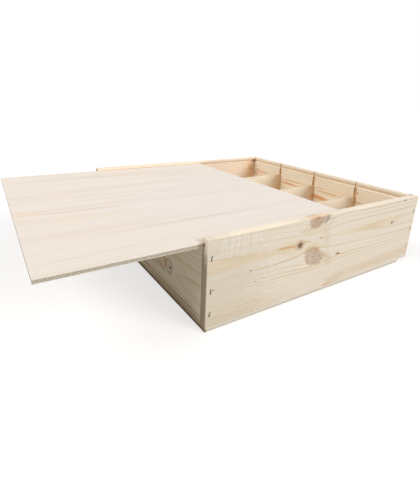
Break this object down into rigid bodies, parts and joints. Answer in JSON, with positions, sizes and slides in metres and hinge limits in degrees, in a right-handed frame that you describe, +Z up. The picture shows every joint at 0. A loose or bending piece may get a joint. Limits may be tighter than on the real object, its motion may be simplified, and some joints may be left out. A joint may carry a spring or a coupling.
{
  "type": "wooden wine box",
  "caption": "Shallow pine box with slotted dividers that make lanes for lying bottles, and a plywood lid that slides in grooves.",
  "frame": {"origin": "middle of the box's underside, under the middle of the space between the boards", "axes": "+Z up; +X along the lanes towards the closed end, so the lid is drawn out towards -X; +Y towards the back"},
  "size_m": [0.4915, 0.358, 0.098],
  "materials": {
    "side_pine": "planed, unfinished",
    "end_pine": "planed, unfinished",
    "divider_plywood": "sanded, unfinished",
    "lid_plywood": "sanded, unfinished",
    "bottom_plywood": "sanded, unfinished",
    "staple_steel": "dull, darkened"
  },
  "bodies": {
    "box": {"bottom_panel": "bottom_plywood", "bottom_staple_back_1": "staple_steel", "bottom_staple_back_2": "staple_steel", "bottom_staple_back_3": "staple_steel", "bottom_staple_back_4": "staple_steel", "bottom_staple_closed_1": "staple_steel", "bottom_staple_closed_2": "staple_steel", "bottom_staple_closed_3": "staple_steel", "bottom_staple_closed_4": "staple_steel", "bottom_staple_front_1": "staple_steel", "bottom_staple_front_2": "staple_steel", "bottom_staple_front_3": "staple_steel", "bottom_staple_front_4": "staple_steel", "bottom_staple_open_1": "staple_steel", "bottom_staple_open_2": "staple_steel", "bottom_staple_open_3": "staple_steel", "bottom_staple_open_4": "staple_steel", "corner_staple_back_closed_1": "staple_steel", "corner_staple_back_closed_2": "staple_steel", "corner_staple_back_closed_3": "staple_steel", "corner_staple_back_open_1": "staple_steel", "corner_staple_back_open_2": "staple_steel", "corner_staple_back_open_3": "staple_steel", "corner_staple_front_closed_1": "staple_steel", "corner_staple_front_closed_2": "staple_steel", "corner_staple_front_closed_3": "staple_steel", "corner_staple_front_open_1": "staple_steel", "corner_staple_front_open_2": "staple_steel", "corner_staple_front_open_3": "staple_steel", "divider_1": "divider_plywood", "divider_2": "divider_plywood", "divider_3": "divider_plywood", "end_board_closed": "end_pine", "end_board_open": "end_pine", "side_board_back": "side_pine", "side_board_front": "side_pine", "top_staple": "staple_steel"},
    "lid": {"lid": "lid_plywood"}
  },
  "joints": [
    {"name": "lid_slide", "type": "slide", "parent": "box", "child": "lid", "axis": [1, 0, 0], "range_m": [-0.2022, 0.1415]}
  ]
}
